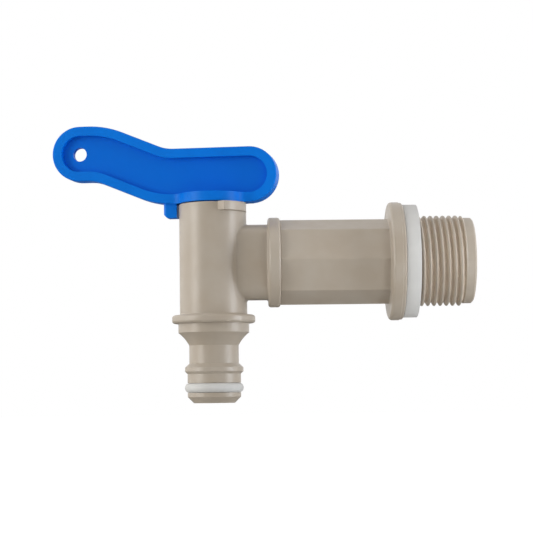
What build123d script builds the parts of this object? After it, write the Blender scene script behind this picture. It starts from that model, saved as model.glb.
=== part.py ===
"""Water butt tap with a lever, a push-on hose nozzle and a threaded inlet tail.

The tap screws through the wall of a water butt. Water enters along X through the tail, passes a
window in the plug that hangs below the lever, and leaves downwards through the nozzle. Sizes are
in millimetres. The origin is on the inlet axis, in the washer's outer face, which bears on the
wall of the butt; +X runs into the butt and +Z is up.
"""
import os
from math import cos, pi, sqrt

from build123d import *

# Barrel: an upright tube that holds the plug
reach = 59.3
barrel_radius = 9.8
barrel_bore_radius = 7.5
barrel_height = 17.2
bore_depth = 14.5
outlet_bore_radius = 4.7
rim_round = 0.3
round_share = 0.45  # of a wall's thickness: the most that a round on its edge takes

# Hose nozzle below the barrel, from the ring down to the tip
ring_drop = 15.2
ring_radius = 12.1
ring_thickness = 2.4
ring_round = 0.8
ring_blend = 0.5
shoulder_radius = 10.3
shoulder_length = 2.7
cone_length = 3.7
cone_sag = 0.2
neck_radius = 7.2
neck_length = 5.2
catch_radius = 8.5
catch_slope = 1.2
catch_length = 1.1
land_radius = 7.75
land_length = 2.6
tip_length = 1.2
tip_bevel = 1.8

# Stub and collar that carry the tail
stub_length = 16.0  # from the barrel's axis to the collar
stub_width = 14.1
stub_height = 21.7
stub_corner = 4.0
stub_blend = 0.8
collar_radius = 13.1
collar_thickness = 3.5
collar_round = 0.8
collar_blend = 0.5
passage_width = 9.0
passage_height = 13.6

# Push-fit joint between the collar and the tail
nipple_length = 12.0
nipple_wall = 2.4
joint_clearance = 0.1
snap_height = 0.3
snap_width = 1.2
key_width = 4.0
key_height = 1.1
key_length = 1.5

# Inlet tail: octagon for a spanner, flange and threaded spigot of nominal size G 3/4
tail_bore_radius = 9.5
octagon_sides = 8
octagon_width = 23.0
octagon_round = 1.1
flange_radius = 17.25
flange_thickness = 4.0
flange_round = 1.0
flange_bevel = 0.3
flange_bevel_width = 1.1
thread_radius = 13.22
thread_length = 13.7
undercut_depth = 0.7
pilot_radius = 12.5
pilot_length = 2.6
pilot_bevel = 0.5

# White washer on the flange
washer_radius = 16.5
washer_thickness = 4.2
washer_clearance = 0.28
washer_round = 0.5

# Lever: a paddle on edge, with a round hub over the barrel
lever_gap = 0.3
lever_rest_turn = -10.0
paddle_half_height = 8.1
paddle_thickness = 6.0
paddle_toe = 11.3
bend_near = 15.0
grip_length = 6.4
grip_reach = 39.35
grip_rise = 7.45
bend_radius = 19.0
border_width = 2.75
panel_depth = 1.8
paddle_round = 0.4
cord_hole_radius = 2.05
cord_hole_shift = 0.2  # from the middle of the round end towards its tip
hub_radius = 9.6
hub_blend = 3.5

# Stop tab below the lever and the stop rib that it meets
tab_width = 4.0
tab_gap = 0.5
tab_length = 4.0
tab_depth = 4.1
tab_bevel = 1.1
tab_round = 1.0
rib_height = 2.5
rib_bulge = 2.3
rib_start = 1.55

# Plug below the hub, in one piece with the lever
plug_clearance = 0.15
plug_floor_gap = 0.3
plug_bore_radius = 4.6
plug_roof = 8.5
bead_height = 0.45
bead_width = 1.6
bead_drop = 2.2
bead_clearance = 0.3

# Sealing rings: section diameters, seats and running clearance
plug_seal_section = 1.8
plug_seal_drop = 5.9
plug_seal_rise = 3.2
joint_seal_section = 1.5
joint_seal_setback = 6.0
nozzle_seal_section = 2.8
nozzle_seal_radius = 8.58
nozzle_seal_play = 0.04
seat_clearance = 0.02
running_clearance = 0.03
groove_play = 0.3

# Saddle seal round the window in the barrel's bore
saddle_thickness = 1.2
saddle_border = 1.7
saddle_corner = 2.0

# Heights and places that follow from the sizes above
ring_top = -ring_drop
ring_foot = ring_top - ring_thickness
shoulder_foot = ring_foot - shoulder_length
cone_foot = shoulder_foot - cone_length
neck_foot = cone_foot - neck_length
catch_top = neck_foot - catch_slope
catch_foot = catch_top - catch_length
land_top = catch_foot - (catch_radius - land_radius)
groove_top = land_top - land_length
nozzle_seal_level = groove_top - (nozzle_seal_section + nozzle_seal_play) / 2
groove_foot = groove_top - nozzle_seal_section - nozzle_seal_play
tip_corner = groove_foot - tip_length
tip_foot = tip_corner - tip_bevel

flange_face = -washer_thickness
flange_back = flange_face - flange_thickness
collar_start = stub_length - reach
tail_start = collar_start + collar_thickness
thread_end = thread_length
pilot_end = thread_end + pilot_length

nipple_radius = tail_bore_radius - joint_clearance
nipple_bore_radius = nipple_radius - nipple_wall
nipple_end = tail_start + nipple_length
joint_seal_place = nipple_end - joint_seal_setback

plug_radius = barrel_bore_radius - plug_clearance
plug_foot = plug_floor_gap - bore_depth
lever_foot = barrel_height + lever_gap
hub_line = lever_foot + paddle_half_height
bead_level = barrel_height - bead_drop
upper_seal_level = barrel_height - plug_seal_drop
lower_seal_level = plug_seal_rise - bore_depth
bend_far = grip_reach - grip_length


def turned_about_z(points):
    """Solid turned about Z from (radius, height) points."""
    outline = Polyline(*[(radius, 0, height) for radius, height in points], close=True)
    return revolve(make_face(outline.edges()), Axis.Z)


def turned_about_x(points):
    """Solid turned about X from (place, radius) points."""
    outline = Polyline(*[(place, 0, radius) for place, radius in points], close=True)
    return revolve(make_face(outline.edges()), Axis.X)


def pipe_along_x(outer, inner, start, end):
    """Round tube along X between two places; an inner radius of 0 leaves it solid."""
    return turned_about_x([(start, inner), (start, outer), (end, outer), (end, inner)])


def pipe_along_z(outer, inner, low, high):
    """Round tube along Z between two heights; an inner radius of 0 leaves it solid."""
    return turned_about_z([(inner, low), (outer, low), (outer, high), (inner, high)])


def prism_along_x(outline, start, end):
    """Outline drawn across the X axis, carried from one place to another."""
    return extrude(Plane.YZ.offset(start) * outline, end - start)


def rings_at(solid, radius, level, axis):
    """Circular edges of a turned solid with this radius, at this level along its axis."""
    found = []
    for edge in solid.edges().filter_by(GeomType.CIRCLE):
        centre = edge.arc_center
        place = centre.Z if axis == Axis.Z else centre.X
        if abs(edge.radius - radius) < 0.01 and abs(place - level) < 0.01:
            found.append(edge)
    return found


def obround(width, height):
    """Upright slot outline with round ends, across the X axis."""
    return SlotOverall(height, width, rotation=90)


def nozzle_and_barrel():
    """Outside of the barrel, its ring and the hose nozzle, as one turned solid."""
    groove_root = nozzle_seal_radius - nozzle_seal_section - seat_clearance
    above = Polyline(
        (0, 0, barrel_height), (barrel_radius, 0, barrel_height),
        (barrel_radius, 0, ring_top), (ring_radius, 0, ring_top), (ring_radius, 0, ring_foot),
        (shoulder_radius, 0, ring_foot), (shoulder_radius, 0, shoulder_foot))
    cone_middle = (
        (shoulder_radius + neck_radius) / 2 - cone_sag, 0, (shoulder_foot + cone_foot) / 2 + cone_sag)
    cone = ThreePointArc((shoulder_radius, 0, shoulder_foot), cone_middle, (neck_radius, 0, cone_foot))
    below = Polyline(
        (neck_radius, 0, cone_foot), (neck_radius, 0, neck_foot),
        (catch_radius, 0, catch_top), (catch_radius, 0, catch_foot),
        (land_radius, 0, land_top), (land_radius, 0, groove_top),
        (groove_root, 0, groove_top), (groove_root, 0, groove_foot),
        (land_radius, 0, groove_foot), (land_radius, 0, tip_corner),
        (land_radius - tip_bevel, 0, tip_foot), (0, 0, tip_foot), (0, 0, barrel_height))
    body = revolve(make_face(above.edges() + cone.edges() + below.edges()), Axis.Z)
    ring_edges = rings_at(body, ring_radius, ring_top, Axis.Z)
    ring_edges += rings_at(body, ring_radius, ring_foot, Axis.Z)
    body = fillet(ring_edges, min(ring_round, round_share * ring_thickness))
    body = fillet(rings_at(body, barrel_radius, ring_top, Axis.Z), ring_blend)
    return fillet(rings_at(body, barrel_radius, barrel_height, Axis.Z), rim_round)


def stop_rib():
    """Rib round the inlet side of the barrel's rim; its two slanted ends stop the lever's tab."""
    low = barrel_height - rib_height
    outline = Circle(barrel_radius)
    for side in (-1, 1):
        outline += Pos(0, side * rib_bulge) * Circle(barrel_radius)
    outline += Rectangle(2 * barrel_radius, 2 * rib_bulge)
    contact = sqrt(barrel_radius ** 2 - rib_start ** 2)
    run = barrel_radius + rib_bulge
    keep = make_face(Polyline(
        (rib_start, 0), (rib_start, contact), (rib_start + run, contact + run),
        (rib_start + 2 * run, 0), (rib_start + run, -contact - run), (rib_start, -contact),
        close=True).edges())
    return Pos(0, 0, low) * extrude(outline & keep, rib_height)


def nipple_keys(play):
    """Two keys on the collar's face, one each side, which stop the tail from turning."""
    middle = (tail_bore_radius + octagon_width / 2) / 2
    keys = []
    for side in (-1, 1):
        block = Box(key_length + play, key_height + play, key_width + play,
                    align=(Align.MIN, Align.CENTER, Align.CENTER))
        keys.append(Pos(tail_start, side * middle, 0) * block)
    return keys


def snap_bead(radius, width, level, height):
    """Low ring with sloping sides on a shaft along X."""
    half = width / 2
    return turned_about_x([
        (level - half, radius - height), (level - half, radius), (level - half + height, radius + height),
        (level + half - height, radius + height), (level + half, radius), (level + half, radius - height),
    ])


def saddle_outline(border, corner, play):
    """Outline of the saddle seal round the passage, seen along X."""
    width = passage_width + 2 * border + 2 * play
    height = passage_height + 2 * border + 2 * play
    return RectangleRounded(width, height, corner + play)


def stub_foot(body):
    """Edges where the stub leaves the barrel."""
    found = []
    for edge in body.edges():
        place = edge.position_at(0.5)
        across = sqrt((place.X + reach) ** 2 + place.Y ** 2)
        if abs(across - barrel_radius) < 0.01 and abs(place.Z) < stub_height / 2 + 0.01 and place.X > -reach:
            found.append(edge)
    return found


def stub_end(body):
    """Edges where the stub meets the collar's face."""
    found = []
    for edge in body.edges():
        place = edge.position_at(0.5)
        across = sqrt(place.Y ** 2 + place.Z ** 2)
        if abs(place.X - collar_start) < 0.01 and across < collar_radius - collar_round - 0.1:
            found.append(edge)
    return found


def tap_body():
    """Barrel, nozzle, stub, collar, nipple and stop rib, moulded as one piece."""
    body = Pos(-reach, 0, 0) * nozzle_and_barrel()
    body += prism_along_x(RectangleRounded(stub_width, stub_height, stub_corner), -reach, collar_start)
    body = fillet(stub_foot(body), stub_blend)
    body += Pos(-reach, 0, 0) * stop_rib()
    collar = pipe_along_x(collar_radius, 0, collar_start, tail_start)
    collar_edges = rings_at(collar, collar_radius, collar_start, Axis.X)
    collar_edges += rings_at(collar, collar_radius, tail_start, Axis.X)
    body += fillet(collar_edges, collar_round)
    body = fillet(stub_end(body), collar_blend)
    body += pipe_along_x(nipple_radius, 0, tail_start, nipple_end)
    body += snap_bead(nipple_radius, snap_width, nipple_end - snap_width, snap_height)
    body += nipple_keys(0)

    groove_half = (joint_seal_section + groove_play) / 2
    groove_root = tail_bore_radius - running_clearance - joint_seal_section - seat_clearance
    body -= pipe_along_x(collar_radius, groove_root,
                         joint_seal_place - groove_half, joint_seal_place + groove_half)

    body -= prism_along_x(obround(passage_width, passage_height), -reach, nipple_end)
    body -= pipe_along_x(nipple_bore_radius, 0, collar_start, nipple_end)

    bores = pipe_along_z(barrel_bore_radius, 0, -bore_depth, barrel_height)
    bores += pipe_along_z(outlet_bore_radius, 0, tip_foot, -bore_depth)
    bead_room = (bead_width + bead_clearance) / 2
    bores += pipe_along_z(plug_radius + bead_height + bead_clearance, 0,
                          bead_level - bead_room, bead_level + bead_room)
    pocket = prism_along_x(saddle_outline(saddle_border, saddle_corner, seat_clearance), 0, reach)
    pocket &= pipe_along_z(barrel_bore_radius + saddle_thickness, 0, -reach, reach)
    return body - Pos(-reach, 0, 0) * (bores + pocket)


def inlet_tail():
    """Octagonal tube with the flange and the threaded spigot; the thread's crests are its outline."""
    corner_radius = octagon_width / 2 / cos(pi / octagon_sides)
    octagon = fillet(RegularPolygon(corner_radius, octagon_sides).vertices(), octagon_round)
    tail = prism_along_x(octagon, tail_start, flange_back)
    spigot = turned_about_x([
        (flange_back, 0), (flange_back, flange_radius),
        (flange_face - flange_bevel_width, flange_radius), (flange_face, flange_radius - flange_bevel),
        (flange_face, thread_radius - undercut_depth), (0, thread_radius - undercut_depth),
        (0, thread_radius), (thread_end, thread_radius), (thread_end, pilot_radius),
        (pilot_end - pilot_bevel, pilot_radius), (pilot_end, pilot_radius - pilot_bevel),
        (pilot_end, 0),
    ])
    spigot = fillet(rings_at(spigot, flange_radius, flange_back, Axis.X), flange_round)
    tail += spigot
    tail -= pipe_along_x(tail_bore_radius, 0, tail_start, pilot_end)
    tail -= snap_bead(tail_bore_radius, snap_width + 2 * joint_clearance,
                      nipple_end - snap_width, snap_height)
    return tail - nipple_keys(joint_clearance)


def flange_washer():
    """Soft washer between the flange and the wall of the butt."""
    washer = pipe_along_x(washer_radius, thread_radius + washer_clearance, flange_face, 0)
    edges = rings_at(washer, washer_radius, flange_face, Axis.X) + rings_at(washer, washer_radius, 0, Axis.X)
    return fillet(edges, washer_round)


def paddle_outline(half_height):
    """Bent band with round ends, drawn in the XZ plane round the barrel's axis."""
    grip_end = (-grip_reach, hub_line + grip_rise)
    toe_end = (paddle_toe, hub_line)
    line = FilletPolyline(
        grip_end, (-bend_far, hub_line + grip_rise), (-bend_near, hub_line), toe_end, radius=bend_radius)
    band = trace(line, 2 * half_height)
    band += Pos(*grip_end) * Circle(half_height) + Pos(*toe_end) * Circle(half_height)
    return Plane.XZ * band


def hub():
    """Disc over the barrel, blended into both faces of the paddle."""
    blend_reach = sqrt((hub_radius + hub_blend) ** 2 - (paddle_thickness / 2 + hub_blend) ** 2)
    plan = Circle(hub_radius) + Rectangle(2 * (blend_reach + paddle_round), paddle_thickness)
    inner = [v for v in plan.vertices() if abs(v.X) < hub_radius]
    plan = fillet(inner, hub_blend)
    return Pos(0, 0, lever_foot) * extrude(plan, border_width)


def stop_tab():
    """Tab that hangs beside the barrel, opposite the inlet, with its lower outer corner bevelled."""
    inner = barrel_radius + tab_gap
    outer = inner + tab_length
    foot = lever_foot - tab_depth
    outline = Plane.XZ * make_face(Polyline(
        (-inner, lever_foot + border_width / 2), (-outer, lever_foot + border_width / 2),
        (-outer, foot + tab_bevel), (-outer + tab_bevel, foot), (-inner, foot), close=True).edges())
    tab = extrude(outline, tab_width / 2, both=True)
    corners = [e for e in tab.edges().filter_by(Axis.Z) if abs(e.center().X + outer) < 0.01]
    return fillet(corners, min(tab_round, round_share * tab_width))


def plug():
    """Hollow plug with a side window, two ring grooves and a snap bead."""
    groove_root = barrel_bore_radius - running_clearance - plug_seal_section - seat_clearance
    groove_half = (plug_seal_section + groove_play) / 2
    half = bead_width / 2
    swell = plug_radius + bead_height
    solid = turned_about_z([
        (0, plug_foot), (plug_radius, plug_foot),
        (plug_radius, lower_seal_level - groove_half), (groove_root, lower_seal_level - groove_half),
        (groove_root, lower_seal_level + groove_half), (plug_radius, lower_seal_level + groove_half),
        (plug_radius, upper_seal_level - groove_half), (groove_root, upper_seal_level - groove_half),
        (groove_root, upper_seal_level + groove_half), (plug_radius, upper_seal_level + groove_half),
        (plug_radius, bead_level - half), (swell, bead_level - half + bead_height),
        (swell, bead_level + half - bead_height), (plug_radius, bead_level + half),
        (plug_radius, lever_foot + border_width / 2), (0, lever_foot + border_width / 2),
    ])
    solid -= pipe_along_z(plug_bore_radius, 0, plug_foot, plug_roof)
    return solid - prism_along_x(obround(passage_width, passage_height), 0, barrel_radius)


def lever():
    """Paddle, hub, stop tab and plug, moulded as one piece and turned to its resting place."""
    half = paddle_thickness / 2
    paddle = extrude(paddle_outline(paddle_half_height), half, both=True)
    outer_edges = [e for e in paddle.edges() if abs(abs(e.center().Y) - half) < 0.01]
    paddle = fillet(outer_edges, paddle_round)
    paddle += hub()
    panel = paddle_outline(paddle_half_height - border_width)
    paddle -= Pos(0, -half, 0) * extrude(panel, panel_depth, both=True)
    paddle -= Pos(0, half, 0) * extrude(panel, panel_depth, both=True)
    hole = Plane.XZ * Pos(-grip_reach - cord_hole_shift, hub_line + grip_rise) * Circle(cord_hole_radius)
    paddle -= extrude(hole, paddle_thickness, both=True)
    return Rot(0, 0, lever_rest_turn) * (paddle + stop_tab() + plug())


def saddle_seal():
    """Curved rubber frame in the bore's pocket, which presses on the plug round its window."""
    frame = prism_along_x(saddle_outline(saddle_border, saddle_corner, 0), 0, reach)
    frame &= pipe_along_z(barrel_bore_radius + saddle_thickness - seat_clearance,
                          plug_radius + running_clearance, -reach, reach)
    return frame - prism_along_x(obround(passage_width, passage_height), 0, reach)


def ring_seal(outer_radius, section):
    """Rubber ring of round section."""
    return Torus(outer_radius - section / 2, section / 2)


def plug_ring(level):
    """Ring in one of the plug's grooves, at its level."""
    return Pos(-reach, 0, level) * ring_seal(barrel_bore_radius - running_clearance, plug_seal_section)


parts = {
    "tap_body": tap_body(),
    "inlet_tail": inlet_tail(),
    "flange_washer": flange_washer(),
    "lever": Pos(-reach, 0, 0) * lever(),
    "saddle_seal": Pos(-reach, 0, 0) * saddle_seal(),
    "plug_ring_upper": plug_ring(upper_seal_level),
    "plug_ring_lower": plug_ring(lower_seal_level),
    "joint_ring": Pos(joint_seal_place, 0, 0) * Rot(0, 90, 0)
    * ring_seal(tail_bore_radius - running_clearance, joint_seal_section),
    "nozzle_ring": Pos(-reach, 0, nozzle_seal_level) * ring_seal(nozzle_seal_radius, nozzle_seal_section),
}

os.makedirs("parts", exist_ok=True)
for name, solid in parts.items():
    export_step(solid, f"parts/{name}.step")
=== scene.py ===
"""Looks of the water butt tap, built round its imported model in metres, in the model's own frame."""

import math

import bpy
import numpy as np
from mathutils import Euler, Matrix, Vector


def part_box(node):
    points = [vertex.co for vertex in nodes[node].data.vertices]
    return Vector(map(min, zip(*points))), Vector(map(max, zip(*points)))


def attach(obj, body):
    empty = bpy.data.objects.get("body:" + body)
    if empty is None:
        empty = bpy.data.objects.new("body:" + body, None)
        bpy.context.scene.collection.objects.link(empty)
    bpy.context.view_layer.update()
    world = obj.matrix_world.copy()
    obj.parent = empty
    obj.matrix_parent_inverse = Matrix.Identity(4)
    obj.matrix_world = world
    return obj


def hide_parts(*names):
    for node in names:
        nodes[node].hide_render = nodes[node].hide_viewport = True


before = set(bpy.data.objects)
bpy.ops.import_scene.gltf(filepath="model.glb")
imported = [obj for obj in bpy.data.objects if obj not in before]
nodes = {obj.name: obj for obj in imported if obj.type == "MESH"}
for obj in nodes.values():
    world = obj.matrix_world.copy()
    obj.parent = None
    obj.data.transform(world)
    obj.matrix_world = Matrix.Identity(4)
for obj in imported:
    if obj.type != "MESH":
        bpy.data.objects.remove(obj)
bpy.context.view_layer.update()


# View of the photograph: from half a metre in front, a little above the nozzle's tip, looking
# slightly up at the tap. The lens is long, so that the pieces keep their side-on outlines.
PICTURE_SIDE = 533              # pixels
CAMERA_PLACE = (-0.0551, -0.5087, -0.0373)
CAMERA_PAN = 1.28               # degrees from +Y to the right
CAMERA_TILT = 4.066             # degrees up
CAMERA_ROLL = -0.70
FOCAL_PIXELS = 1746.3
SENSOR_WIDTH = 36.0             # millimetres

camera_data = bpy.data.cameras.new("camera")
camera_data.sensor_width = SENSOR_WIDTH
camera_data.lens = FOCAL_PIXELS / PICTURE_SIDE * SENSOR_WIDTH
camera = bpy.data.objects.new("camera", camera_data)
heading = Euler((math.radians(90 + CAMERA_TILT), 0, math.radians(-CAMERA_PAN))).to_matrix().to_4x4()
roll = Matrix.Rotation(math.radians(CAMERA_ROLL), 4, "Z")
camera.matrix_world = Matrix.Translation(CAMERA_PLACE) @ heading @ roll
bpy.context.scene.collection.objects.link(camera)
bpy.context.scene.camera = camera
bpy.context.scene.view_settings.view_transform = "Standard"


# Tap body: barrel, hose nozzle, stub and collar, injection-moulded in one from grey-beige
# polypropylene. The mould was spark-eroded, which leaves a very fine, even, satin grain.
MM = 0.001
BEIGE = "#B7ADA0"
BEIGE_DARK = "#B2A697"
BODY_ROUGHNESS = (0.36, 0.44)
BODY_SHEEN = 0.65
POLYPROPYLENE_IOR = 1.49
BODY_GRAIN_HEIGHT = 0.006 * MM
GRAIN_SIZE = 0.45 * MM          # the real grain is about 0.05 mm, drawn coarser so that it shows at all
FLOW_SIZE = 9.0 * MM            # clouds that the melt's flow leaves in the colour
SCUFF_SIZE = 2.5 * MM           # patches of uneven gloss


def linear(hex_code):
    """Linear red, green, blue and alpha of an sRGB hex code such as #B0A397."""
    shares = [int(hex_code[i:i + 2], 16) / 255 for i in (1, 3, 5)]
    return [c / 12.92 if c <= 0.04045 else ((c + 0.055) / 1.055) ** 2.4 for c in shares] + [1.0]


def add(tree, kind, inputs=(), **settings):
    """Adds a node; settings are its properties, and inputs gives sockets a value or an output to link."""
    node = tree.nodes.new(kind)
    for name, value in settings.items():
        setattr(node, name, value)
    for name, value in dict(inputs).items():
        if isinstance(value, bpy.types.NodeSocket):
            tree.links.new(value, node.inputs[name])
        else:
            node.inputs[name].default_value = value
    return node


def moulded_plastic(name, light, dark, roughness, ior, grain_height, sheen=0.5):
    """Moulded plastic: two close colours in soft clouds, patches between the two roughnesses, and a
    fine mould grain. The sheen scales what the surface mirrors, and 0.5 leaves it as the IOR has it."""
    material = bpy.data.materials.new(name)
    material.use_nodes = True
    tree = material.node_tree
    tree.nodes.clear()
    place = add(tree, "ShaderNodeTexCoord").outputs["Object"]
    clouds = add(tree, "ShaderNodeTexNoise", {"Vector": place, "Scale": 1 / FLOW_SIZE, "Detail": 3.0})
    soft = add(tree, "ShaderNodeMapRange", {
        "Value": clouds.outputs["Fac"], "From Min": 0.35, "From Max": 0.65})
    colour = add(tree, "ShaderNodeMix", {0: soft.outputs["Result"], 6: linear(dark), 7: linear(light)},
                 data_type="RGBA")
    scuffs = add(tree, "ShaderNodeTexNoise", {"Vector": place, "Scale": 1 / SCUFF_SIZE, "Detail": 4.0})
    gloss = add(tree, "ShaderNodeMapRange", {
        "Value": scuffs.outputs["Fac"], "From Min": 0.3, "From Max": 0.7,
        "To Min": roughness[0], "To Max": roughness[1]})
    grain = add(tree, "ShaderNodeTexNoise", {"Vector": place, "Scale": 1 / GRAIN_SIZE, "Detail": 2.0})
    bump = add(tree, "ShaderNodeBump", {"Height": grain.outputs["Fac"], "Distance": grain_height})
    shader = add(tree, "ShaderNodeBsdfPrincipled", {
        "Base Color": colour.outputs[2], "Roughness": gloss.outputs["Result"], "IOR": ior,
        "Specular IOR Level": sheen, "Normal": bump.outputs["Normal"]})
    add(tree, "ShaderNodeOutputMaterial", {"Surface": shader.outputs["BSDF"]})
    return material


def recolour(material, mask, hex_code):
    """Turns the material's colour into this one as far as the mask, an output from 0 to 1, says."""
    tree = material.node_tree
    shader = tree.nodes["Principled BSDF"]
    before = shader.inputs["Base Color"].links[0].from_socket
    after = add(tree, "ShaderNodeMix", {0: mask, 6: before, 7: linear(hex_code)}, data_type="RGBA")
    tree.links.new(after.outputs[2], shader.inputs["Base Color"])


def dress(piece, material):
    """Gives a piece this one material."""
    piece.data.materials.clear()
    piece.data.materials.append(material)


# Polypropylene with a spark-eroded satin surface: soft, broad highlights and no sharp reflection
beige_polypropylene = moulded_plastic("beige_polypropylene", BEIGE, BEIGE_DARK, BODY_ROUGHNESS,
                                      POLYPROPYLENE_IOR, BODY_GRAIN_HEIGHT, BODY_SHEEN)
dress(nodes["tap_body"], beige_polypropylene)


# Inlet tail: octagonal tube for a spanner, flange, and spigot with a G 3/4 thread, moulded in one
# from the same polypropylene. It is pushed over the body's nipple, whose bead snaps into its bore.
# Its sizes are in millimetres.
tail_low, tail_high = (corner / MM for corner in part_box("inlet_tail"))
washer_low, washer_high = (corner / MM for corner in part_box("flange_washer"))
TAIL_START = tail_low.x
TAIL_END = tail_high.x
EDGE_ROUND = 0.2
EDGE_STEPS = 6                  # loops round each rounded edge
ANGLE_STEP = 3.0                # degrees between the points of a loop
SHARP_EDGE = math.radians(35)   # sharper edges keep their crease in the shading
SAME_POINT_DIGITS = 5           # points that agree to this many decimals of a millimetre are one

BORE_RADIUS = 9.5
SNAP_PLACE = -29.0              # middle of the groove for the nipple's bead
SNAP_HALF = 0.7
SNAP_HEIGHT = 0.3
SLOT_LOW = 9.9                  # the two key slots in the end face, from this radius
SLOT_HIGH = 11.1                # to this one
SLOT_DEPTH = 1.6
SLOT_LEAN = 0.01                # the round walls lean by this much,
SLOT_WALL = 0.05                # and each side wall takes up this many degrees
SLOT_HALF = 2.1
SLOT_SPREAD = math.degrees(math.asin(SLOT_HALF / SLOT_HIGH))

OCTAGON_HALF = 11.5
OCTAGON_ROUND = 0.5
HALF_SIDE = math.pi / 8
CORNER_TURNS = (-0.887, -0.6, -0.3, 0.3, 0.6, 0.887)    # degrees from a corner, over its arc

FLANGE_RADIUS = tail_high.z
FLANGE_WIDTH = 4.0
FLANGE_FACE = washer_low.x
FLANGE_BACK = FLANGE_FACE - FLANGE_WIDTH
FLANGE_ROUND = 1.0
FOOT_ROUND = 0.3                # where the octagon meets the flange
# Fine lip beside the washer: distances before the flange's face and below the flange's radius
FLANGE_LIP = ((1.1, 0.0), (0.98, 0.16), (0.32, 0.2), (0.08, 0.42), (0.0, 0.75))

WALL_FACE = washer_high.x
THREAD_RADIUS = 13.22
THREAD_PITCH = 1.814
THREAD_FLANK = math.radians(27.5)
CREST_ROUND = 0.36              # the moulded crest is blunter than the standard's 0.25, and the root sharper
ROOT_ROUND = 0.15
THREAD_END = 13.7
THREAD_RUN_IN = 0.6             # lengths over which the thread grows at the washer
THREAD_RUN_OUT = 0.7            # and fades at the pilot
THREAD_STEPS = 26               # loops in one pitch
CREST_LOOP = 28                 # loop whose point at the top lies on a crest, a quarter turn up
CREST_PLACE = (CREST_LOOP / THREAD_STEPS + 0.25) * THREAD_PITCH
RELIEF_RADIUS = 12.52
PILOT_RADIUS = 12.5
PILOT_BEVEL = 0.5

# Painted bounce light in the thread's roots: a paler, browner colour where light comes back out of the
# grooves
ROOT_PAINTED_LIGHT = "#C9BAA8"
ROOT_FULL_RADIUS = 12.5         # the painted bounce light is full here
ROOT_GONE_RADIUS = 13.2         # and gone here
ROOT_START = 0.3                # lengths over which it comes in at the washer
ROOT_FADE = 0.8                 # and goes out at the pilot


def octagon_reach(angle):
    """Radius of the octagon: a / cos(angle to the side's middle), and near a corner the far
    crossing of the ray with the corner's arc, r = c cos d + sqrt(q^2 - c^2 sin^2 d)."""
    from_corner = (angle + HALF_SIDE) % (2 * HALF_SIDE) - HALF_SIDE
    flat = OCTAGON_HALF / np.cos(HALF_SIDE - np.abs(from_corner))
    centre = (OCTAGON_HALF - OCTAGON_ROUND) / math.cos(HALF_SIDE)
    half_arc = math.atan2(OCTAGON_ROUND * math.sin(HALF_SIDE), centre + OCTAGON_ROUND * math.cos(HALF_SIDE))
    under_root = np.maximum(OCTAGON_ROUND ** 2 - (centre * np.sin(from_corner)) ** 2, 0.0)
    arc = centre * np.cos(from_corner) + np.sqrt(under_root)
    return np.where(np.abs(from_corner) < half_arc, arc, flat)


def thread_reach(place, angle):
    """Radius of a right-handed pipe thread of 55 degrees: a triangle wave of the place along the axis less
    pitch times turns, with its crest and root rounded by arcs, that grows out of the relief beside
    the washer and sinks back to it at the pilot."""
    turns = (angle - math.pi / 2) / (2 * math.pi)
    along = (place - CREST_PLACE) / THREAD_PITCH - turns
    from_crest = np.abs(along - np.round(along)) * THREAD_PITCH
    from_root = THREAD_PITCH / 2 - from_crest
    sharp_half = 0.5 * (THREAD_PITCH / 2) / math.tan(THREAD_FLANK)
    flank = sharp_half - from_crest / math.tan(THREAD_FLANK)
    crest_middle = sharp_half - CREST_ROUND / math.sin(THREAD_FLANK)
    root_middle = ROOT_ROUND / math.sin(THREAD_FLANK) - sharp_half
    crest = crest_middle + np.sqrt(np.maximum(CREST_ROUND ** 2 - from_crest ** 2, 0))
    root = root_middle - np.sqrt(np.maximum(ROOT_ROUND ** 2 - from_root ** 2, 0))
    height = np.where(from_crest < CREST_ROUND * math.cos(THREAD_FLANK), crest,
                      np.where(from_root < ROOT_ROUND * math.cos(THREAD_FLANK), root, flank))
    full = THREAD_RADIUS - (crest_middle + CREST_ROUND) + height
    start = np.clip(place / THREAD_RUN_IN, 0, 1)
    end = np.clip((THREAD_END - place) / THREAD_RUN_OUT, 0, 1)
    return RELIEF_RADIUS + (full - RELIEF_RADIUS) * start * end * end * (3 - 2 * end)


def closed_sweep(name, places, radii, angles, after_turn):
    """Ring-shaped surface on a grid: row i is a loop at places[i] along X, with radius radii[i] at each
    angle from Y towards Z. After a full turn it runs on as row after_turn[i], which is itself where the
    loop is closed. The last row joins the first, and points that fall together are made one."""
    rows, columns = radii.shape
    points = np.stack([places, radii * np.cos(angles), radii * np.sin(angles)], axis=-1).reshape(-1, 3)
    points, number = np.unique(np.round(points, SAME_POINT_DIGITS), axis=0, return_inverse=True)
    corner = number.reshape(rows, columns)
    beside = np.concatenate([corner[:, 1:], corner[after_turn, :1]], axis=1)
    quads = np.stack([corner, beside, np.roll(beside, -1, axis=0), np.roll(corner, -1, axis=0)], axis=-1)
    faces = [list(dict.fromkeys(quad)) for quad in quads.reshape(-1, 4).tolist()]
    mesh = bpy.data.meshes.new(name)
    mesh.from_pydata((points * MM).tolist(), [], [face for face in faces if len(face) > 2])
    mesh.polygons.foreach_set("use_smooth", np.ones(len(mesh.polygons), bool))
    mesh.set_sharp_from_angle(angle=SHARP_EDGE)
    piece = bpy.data.objects.new(name, mesh)
    bpy.context.scene.collection.objects.link(piece)
    return piece


def quarter(steps):
    """Sine and 1 - cosine of evenly spaced angles over a quarter turn, for a rounded edge."""
    turn = np.linspace(0, math.pi / 2, steps)
    return np.sin(turn), 1 - np.cos(turn)


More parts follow.
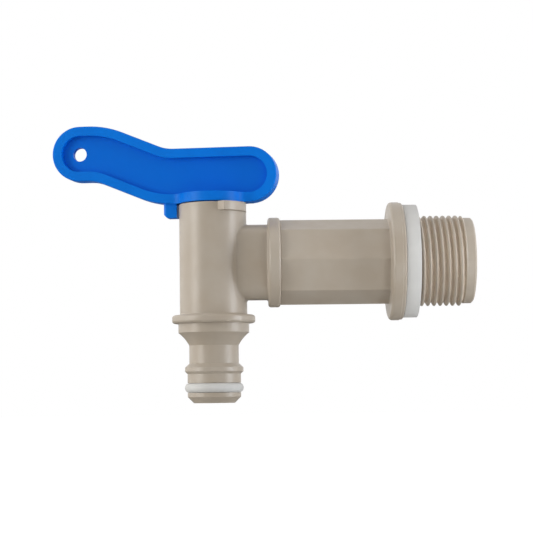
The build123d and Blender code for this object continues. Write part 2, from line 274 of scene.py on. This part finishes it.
def tail_angles():
    """Angles round the tail: even steps, closer ones over the arcs of the eight corners, and one at
    the foot and one at the head of each side wall of the two key slots."""
    even = np.arange(0, 360, ANGLE_STEP)
    corners = np.arange(0, 360, 45.0)[:, None] + np.array(CORNER_TURNS)
    walls = np.array([-SLOT_SPREAD - SLOT_WALL, -SLOT_SPREAD, SLOT_SPREAD, SLOT_SPREAD + SLOT_WALL])
    slots = np.array([0, 180])[:, None] + walls
    return np.radians(np.unique(np.concatenate([even, corners.ravel(), slots.ravel()]) % 360))


def tail_rows(angles):
    """Places and radii of the tail's loops: out over the end face, along the octagon, over the
    flange, along the thread, round the pilot's end and back through the bore. The thread's loops
    climb by one pitch in a turn, as its crest does, so each runs on as the loop one pitch ahead."""
    octagon = octagon_reach(angles)
    from_slot = np.abs((np.degrees(angles) + 90) % 180 - 90)
    slot_floor = TAIL_START + SLOT_DEPTH * (from_slot < SLOT_SPREAD + SLOT_WALL / 2)
    rounding = list(zip(*quarter(EDGE_STEPS)))
    loops = [
        (TAIL_START, BORE_RADIUS + EDGE_ROUND), (TAIL_START, SLOT_LOW), (slot_floor, SLOT_LOW + SLOT_LEAN),
        (slot_floor, SLOT_HIGH - SLOT_LEAN), (TAIL_START, SLOT_HIGH)]
    loops += [(TAIL_START + EDGE_ROUND * r, octagon - EDGE_ROUND * (1 - s)) for s, r in rounding]
    loops += [(TAIL_START + share * (FLANGE_BACK - TAIL_START), octagon) for share in (0.25, 0.5, 0.75)]
    loops += [(FLANGE_BACK - FOOT_ROUND * (1 - s), octagon + FOOT_ROUND * r) for s, r in rounding]
    loops += [(FLANGE_BACK + FLANGE_ROUND * r, FLANGE_RADIUS - FLANGE_ROUND * (1 - s)) for s, r in rounding]
    loops += [(FLANGE_FACE - before, FLANGE_RADIUS - below) for before, below in FLANGE_LIP]
    loops += [(FLANGE_FACE, RELIEF_RADIUS)]

    first = len(loops)
    climb = THREAD_PITCH * angles / (2 * math.pi)
    for step in range(-THREAD_STEPS, math.ceil(THREAD_END / THREAD_PITCH * THREAD_STEPS) + 1):
        place = np.clip(step * THREAD_PITCH / THREAD_STEPS + climb, WALL_FACE, THREAD_END)
        loops.append((place, thread_reach(place, angles)))
    last = len(loops) - 1

    loops += [
        (TAIL_END - PILOT_BEVEL, PILOT_RADIUS), (TAIL_END, PILOT_RADIUS - PILOT_BEVEL),
        (TAIL_END, BORE_RADIUS + EDGE_ROUND), (TAIL_END - EDGE_ROUND, BORE_RADIUS),
        (SNAP_PLACE + SNAP_HALF, BORE_RADIUS),
        (SNAP_PLACE + SNAP_HALF - SNAP_HEIGHT, BORE_RADIUS + SNAP_HEIGHT),
        (SNAP_PLACE - SNAP_HALF + SNAP_HEIGHT, BORE_RADIUS + SNAP_HEIGHT),
        (SNAP_PLACE - SNAP_HALF, BORE_RADIUS), (TAIL_START + EDGE_ROUND, BORE_RADIUS)]
    places = np.array([np.broadcast_to(place, angles.shape) for place, radius in loops])
    radii = np.array([np.broadcast_to(radius, angles.shape) for place, radius in loops])
    after_turn = np.arange(len(loops))
    after_turn[first:last + 1] = np.minimum(after_turn[first:last + 1] + THREAD_STEPS, last)
    return places, radii, angles, after_turn


# The same polypropylene with painted bounce light down in the thread: a paler, browner colour in
# the roots stands in for light that has crossed the thin ridges and comes back out
tail_polypropylene = beige_polypropylene.copy()
tail_polypropylene.name = "tail_polypropylene"
tree = tail_polypropylene.node_tree
spot = add(tree, "ShaderNodeSeparateXYZ", {"Vector": add(tree, "ShaderNodeTexCoord").outputs["Object"]})
across = add(tree, "ShaderNodeCombineXYZ", {"Y": spot.outputs["Y"], "Z": spot.outputs["Z"]})
reach = add(tree, "ShaderNodeVectorMath", {0: across.outputs["Vector"]}, operation="LENGTH")
low_down = add(tree, "ShaderNodeMapRange", {
    "Value": reach.outputs["Value"], "From Min": ROOT_FULL_RADIUS * MM, "From Max": ROOT_GONE_RADIUS * MM,
    "To Min": 1.0, "To Max": 0.0})
past_wall = add(tree, "ShaderNodeMapRange", {
    "Value": spot.outputs["X"], "From Min": 0.0, "From Max": ROOT_START * MM})
before_pilot = add(tree, "ShaderNodeMapRange", {
    "Value": spot.outputs["X"], "From Min": (THREAD_END - ROOT_FADE) * MM, "From Max": THREAD_END * MM,
    "To Min": 1.0, "To Max": 0.0})
in_thread = add(tree, "ShaderNodeMath", {0: past_wall.outputs[0], 1: before_pilot.outputs[0]},
                operation="MULTIPLY")
painted_root_light = add(tree, "ShaderNodeMath", {0: low_down.outputs[0], 1: in_thread.outputs[0]},
              operation="MULTIPLY")
recolour(tail_polypropylene, painted_root_light.outputs[0], ROOT_PAINTED_LIGHT)

tail = closed_sweep("threaded_tail", *tail_rows(tail_angles()))
dress(tail, tail_polypropylene)
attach(tail, "tap")
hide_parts("inlet_tail")


# Washer and nozzle ring: soft white seals, the washer punched from sheet and the ring moulded.
# The washer is pushed over the thread against the flange, and the ring is stretched into its groove.
WHITE_RUBBER = "#D8D8D7"
WHITE_RUBBER_DARK = "#D1D1D0"
WHITE_RUBBER_ROUGHNESS = (0.55, 0.7)
WHITE_RUBBER_IOR = 1.45
RUBBER_GRAIN_HEIGHT = 0.004 * MM
WASHER_RADIUS = washer_high.z   # the washer's sizes are in millimetres
WASHER_HOLE_RADIUS = 13.5
WASHER_EDGE = 0.15
WASHER_LEAD = 0.3               # rounder where the punch went in, which leaves a fine groove at the flange
WASHER_EDGE_STEPS = 4
WASHER_COLUMNS = 180

# Soft white rubber, unpolished: matt, with hardly any highlight
white_rubber = moulded_plastic("white_rubber", WHITE_RUBBER, WHITE_RUBBER_DARK, WHITE_RUBBER_ROUGHNESS,
                               WHITE_RUBBER_IOR, RUBBER_GRAIN_HEIGHT)
dress(nodes["nozzle_ring"], white_rubber)


def washer_rows(angles):
    """Places and radii of the washer's loops: a rectangle of section, outer corners rounded a little."""
    rounding = list(zip(*quarter(WASHER_EDGE_STEPS)))
    loops = [(FLANGE_FACE, WASHER_HOLE_RADIUS)]
    loops += [(FLANGE_FACE + WASHER_LEAD * r, WASHER_RADIUS - WASHER_LEAD * (1 - s)) for s, r in rounding]
    loops += [(WALL_FACE - WASHER_EDGE * (1 - s), WASHER_RADIUS - WASHER_EDGE * r) for s, r in rounding]
    loops += [(WALL_FACE, WASHER_HOLE_RADIUS)]
    places, radii = np.array(loops).T[:, :, None] * np.ones(len(angles))
    return places, radii, angles, np.arange(len(loops))


washer_angles = np.linspace(0, 2 * math.pi, WASHER_COLUMNS, endpoint=False)
washer = closed_sweep("punched_washer", *washer_rows(washer_angles))
dress(washer, white_rubber)
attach(washer, "tap")
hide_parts("flange_washer")


# Inner seals: the saddle round the plug's window, the plug's two rings and the ring of the
# push-fit joint, all moulded in black nitrile rubber and greased into their seats.
BLACK_NITRILE = "#1B1B1C"
BLACK_NITRILE_DARK = "#151516"
NITRILE_ROUGHNESS = (0.4, 0.5)
NITRILE_IOR = 1.52

# Nitrile rubber with a film of grease: near black, with a soft sheen
black_nitrile = moulded_plastic("black_nitrile", BLACK_NITRILE, BLACK_NITRILE_DARK, NITRILE_ROUGHNESS,
                                NITRILE_IOR, RUBBER_GRAIN_HEIGHT)
for seal in ("saddle_seal", "plug_ring_upper", "plug_ring_lower", "joint_ring"):
    dress(nodes[seal], black_nitrile)


# Lever: paddle, hub, stop tab and plug, moulded in one from blue polypropylene and snapped
# down into the barrel. Its mould was polished a little more than the body's.
BLUE = "#0079E8"
BLUE_DARK = "#0073E0"
# Deeper blue painted on the sunk floors as the shade of their recesses
BLUE_PANEL_SHADE = "#006CDD"
LEVER_ROUGHNESS = (0.36, 0.44)
LEVER_SHEEN = 0.12
LEVER_GRAIN_HEIGHT = 0.004 * MM
LEVER_REST_TURN = math.radians(-10)
BARREL_PLACE = -59.3 * MM       # of its axis, along X
PADDLE_FRONT = (math.sin(LEVER_REST_TURN), -math.cos(LEVER_REST_TURN), 0)
PADDLE_MIDDLE = BARREL_PLACE * PADDLE_FRONT[0]
PANEL_LEVEL = 1.2 * MM          # how far each sunk floor lies from the paddle's middle plane
PANEL_MARGIN = 0.02 * MM

# Blue polypropylene from a finer mould: an even satin, full of pigment, with little white sheen.
# The sunk floors get painted shade, a deeper blue, and are found by their distance from the middle plane.
blue_polypropylene = moulded_plastic("blue_polypropylene", BLUE, BLUE_DARK, LEVER_ROUGHNESS,
                                     POLYPROPYLENE_IOR, LEVER_GRAIN_HEIGHT, LEVER_SHEEN)
tree = blue_polypropylene.node_tree
place = add(tree, "ShaderNodeTexCoord").outputs["Object"]
along = add(tree, "ShaderNodeVectorMath", {0: place, 1: PADDLE_FRONT}, operation="DOT_PRODUCT")
off_middle = add(tree, "ShaderNodeMath", {0: along.outputs["Value"], 1: PADDLE_MIDDLE}, operation="SUBTRACT")
height_over = add(tree, "ShaderNodeMath", {0: off_middle.outputs[0]}, operation="ABSOLUTE")
off_floor = add(tree, "ShaderNodeMath", {0: height_over.outputs[0], 1: PANEL_LEVEL}, operation="SUBTRACT")
gap_to_floor = add(tree, "ShaderNodeMath", {0: off_floor.outputs[0]}, operation="ABSOLUTE")
panel_shade = add(tree, "ShaderNodeMapRange", {
    "Value": gap_to_floor.outputs[0], "From Min": PANEL_MARGIN, "From Max": 2 * PANEL_MARGIN,
    "To Min": 1.0, "To Max": 0.0})
recolour(blue_polypropylene, panel_shade.outputs[0], BLUE_PANEL_SHADE)
dress(nodes["lever"], blue_polypropylene)


# Floor and light of a product photograph: a white ground that runs out of sight below the tap,
# soft light from all round, softboxes at the left and the right, a weak one above the tap, and
# a narrow one from below at the thread.
FLOOR_LEVEL = -0.10
FLOOR_REACH = 4.0
FLOOR_GREY = "#D6D6D4"
FLOOR_GLOW = 0.85
FLOOR_MIRRORED = "#7A7A7A"      # the far floor is dim where the undersides mirror it
WHITE = "#FFFFFF"
LIGHT_ABOVE = "#FFFAF8"
LIGHT_BELOW = "#CFD8C7"
AMBIENT_FRONT = 0.62            # strength of the light from the camera's side
AMBIENT_BACK = 0.50
ROOM_GREY = 0.03                # the dark room behind the camera, as the plastic's gloss mirrors it
ROOM_EDGE = (-0.75, -0.45)      # a direction's Y, from where the room is dark to where it is white

floor_corners = [(-FLOOR_REACH, -FLOOR_REACH), (FLOOR_REACH, -FLOOR_REACH),
                 (FLOOR_REACH, FLOOR_REACH), (-FLOOR_REACH, FLOOR_REACH)]
floor_mesh = bpy.data.meshes.new("floor")
floor_mesh.from_pydata([(x, y, FLOOR_LEVEL) for x, y in floor_corners], [], [(0, 1, 2, 3)])
floor = bpy.data.objects.new("floor", floor_mesh)
bpy.context.scene.collection.objects.link(floor)

# White board: matt grey to the tap's light, lifted to white where the camera sees it unshaded
white_board = bpy.data.materials.new("white_board")
white_board.use_nodes = True
board = white_board.node_tree
board.nodes.clear()
seen = add(board, "ShaderNodeLightPath")
matt = add(board, "ShaderNodeBsdfDiffuse", {"Color": linear(FLOOR_GREY)})
glow = add(board, "ShaderNodeEmission", {"Color": linear(WHITE), "Strength": FLOOR_GLOW})
both = add(board, "ShaderNodeAddShader", {0: matt.outputs[0], 1: glow.outputs[0]})
dim = add(board, "ShaderNodeBsdfDiffuse", {"Color": linear(FLOOR_MIRRORED)})
below = add(board, "ShaderNodeMixShader", {
    0: seen.outputs["Is Glossy Ray"], 1: matt.outputs[0], 2: dim.outputs[0]})
in_view = add(board, "ShaderNodeMath", {
    0: seen.outputs["Is Camera Ray"], 1: seen.outputs["Is Transmission Ray"]}, operation="MAXIMUM")
mixed = add(board, "ShaderNodeMixShader", {0: in_view.outputs[0], 1: below.outputs[0], 2: both.outputs[0]})
add(board, "ShaderNodeOutputMaterial", {"Surface": mixed.outputs[0]})
dress(floor, white_board)

# Studio: plain white where the camera sees it, a white room with a dark end behind the camera
# where the plastic mirrors it, and as light a soft white, dimmer and greener from below
world = bpy.data.worlds.new("studio")
world.use_nodes = True
bpy.context.scene.world = world
sky = world.node_tree
sky.nodes.clear()
outwards = add(sky, "ShaderNodeTexCoord").outputs["Generated"]
direction = add(sky, "ShaderNodeSeparateXYZ", {"Vector": outwards})
height = add(sky, "ShaderNodeMapRange", {
    "Value": direction.outputs["Z"], "From Min": -1.0, "From Max": 1.0})
tint = add(sky, "ShaderNodeMix", {
    0: height.outputs["Result"], 6: linear(LIGHT_BELOW), 7: linear(LIGHT_ABOVE)}, data_type="RGBA")
depth = add(sky, "ShaderNodeMapRange", {
    "Value": direction.outputs["Y"], "From Min": -1.0, "From Max": 1.0,
    "To Min": AMBIENT_FRONT, "To Max": AMBIENT_BACK})
around = add(sky, "ShaderNodeBackground", {"Color": tint.outputs[2], "Strength": depth.outputs["Result"]})
mirrored = add(sky, "ShaderNodeMapRange", {
    "Value": direction.outputs["Y"], "From Min": ROOM_EDGE[0], "From Max": ROOM_EDGE[1],
    "To Min": ROOM_GREY, "To Max": 1.0})
backdrop = add(sky, "ShaderNodeBackground", {"Color": linear(WHITE), "Strength": mirrored.outputs["Result"]})
white = add(sky, "ShaderNodeBackground", {"Color": linear(WHITE), "Strength": 1.0})
path = add(sky, "ShaderNodeLightPath")
lit = add(sky, "ShaderNodeMixShader", {
    0: path.outputs["Is Glossy Ray"], 1: around.outputs[0], 2: backdrop.outputs[0]})
plain = add(sky, "ShaderNodeMath", {
    0: path.outputs["Is Camera Ray"], 1: path.outputs["Is Transmission Ray"]}, operation="MAXIMUM")
shown = add(sky, "ShaderNodeMixShader", {0: plain.outputs[0], 1: lit.outputs[0], 2: white.outputs[0]})
add(sky, "ShaderNodeOutputWorld", {"Surface": shown.outputs[0]})

TAP_MIDDLE = (-0.045, 0, 0)
THREAD_END_LOW = (0.014, 0, -0.006)
OPEN_FRONT = 180                # degrees of the cone that leaves a softbox's front
HONEYCOMB = 20                  # and one with a honeycomb grid over it
# Each softbox: name, place, width, height, level, colour, what it is aimed at, and its grid
SOFTBOXES = (
    ("left_softbox", (-0.61, -0.26, 0.06), 0.22, 0.50, 0.52, "#FFFDFA", TAP_MIDDLE, OPEN_FRONT),
    ("left_back_softbox", (-0.58, 0.22, 0.05), 0.50, 0.60, 0.20, "#FFFDFA", TAP_MIDDLE, OPEN_FRONT),
    ("right_softbox", (0.262, -0.110, -0.04), 0.07, 0.30, 0.72, "#F4F8FF", TAP_MIDDLE, OPEN_FRONT),
    ("thread_softbox", (0.10, -0.21, -0.08), 0.12, 0.04, 0.46, WHITE, THREAD_END_LOW, HONEYCOMB),
    ("top_softbox", (-0.05, -0.20, 0.60), 0.60, 0.40, 0.05, "#FFFAF6", TAP_MIDDLE, OPEN_FRONT))


def softbox(name, place, width, height, level, colour, aim, grid):
    """Area lamp aimed at a point. Its level is the share of full white that it alone gives a white
    surface facing it there. Its watts are level times pi squared times distance squared, times
    1 - h / tan h for the half angle h of the cone, which is 1 for an open front."""
    way = Vector(aim) - Vector(place)
    half = math.radians(grid / 2)
    lamp = bpy.data.lights.new(name, "AREA")
    lamp.shape = "RECTANGLE"
    lamp.size = width
    lamp.size_y = height
    lamp.spread = 2 * half
    lamp.energy = level * math.pi ** 2 * way.length_squared * (1 - half / math.tan(half))
    lamp.color = linear(colour)[:3]
    holder = bpy.data.objects.new(name, lamp)
    holder.matrix_world = Matrix.Translation(place) @ way.to_track_quat("-Z", "Y").to_matrix().to_4x4()
    bpy.context.scene.collection.objects.link(holder)


for box in SOFTBOXES:
    softbox(*box)
